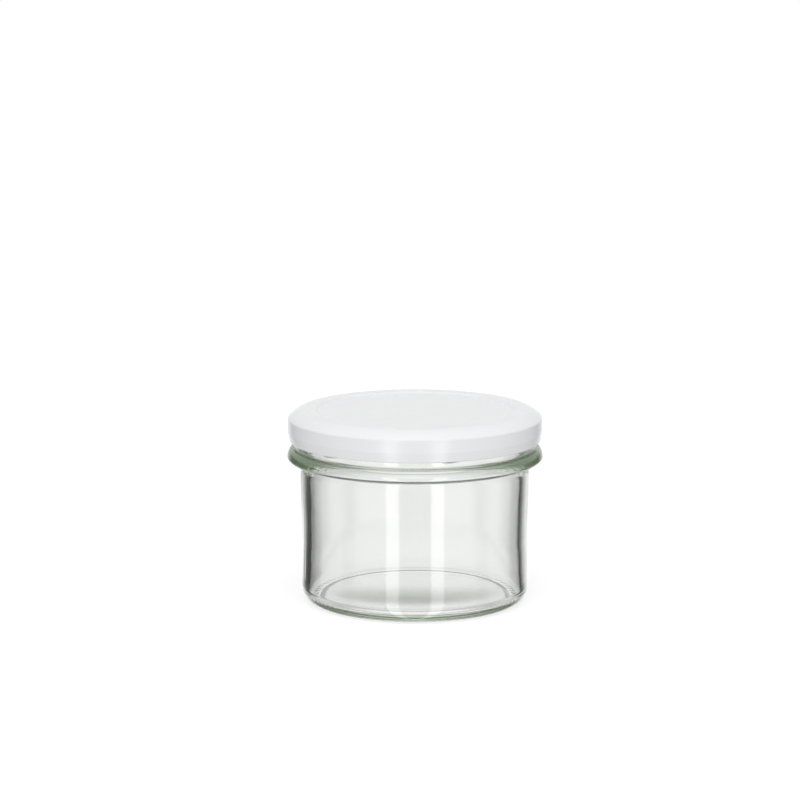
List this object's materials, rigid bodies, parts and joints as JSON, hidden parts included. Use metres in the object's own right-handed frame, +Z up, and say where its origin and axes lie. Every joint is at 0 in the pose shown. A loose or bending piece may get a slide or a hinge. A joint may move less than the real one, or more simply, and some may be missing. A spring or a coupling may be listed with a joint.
{
  "type": "canning jar",
  "caption": "Low round clear glass canning jar, empty, with a rounded bead under its neck and a plain white twist-off metal lid.",
  "frame": {"origin": "centre of the jar's base, on the surface that it stands on", "axes": "+Z up along the jar's and the lid's common axis; +X and +Y are across it, and -Y is the side that the picture shows"},
  "size_m": [0.0854, 0.0854, 0.0649],
  "materials": {
    "clear_glass": "gloss",
    "white_enamel": "gloss"
  },
  "bodies": {
    "root": {"jar": "clear_glass", "lid": "white_enamel"}
  },
  "joints": []
}
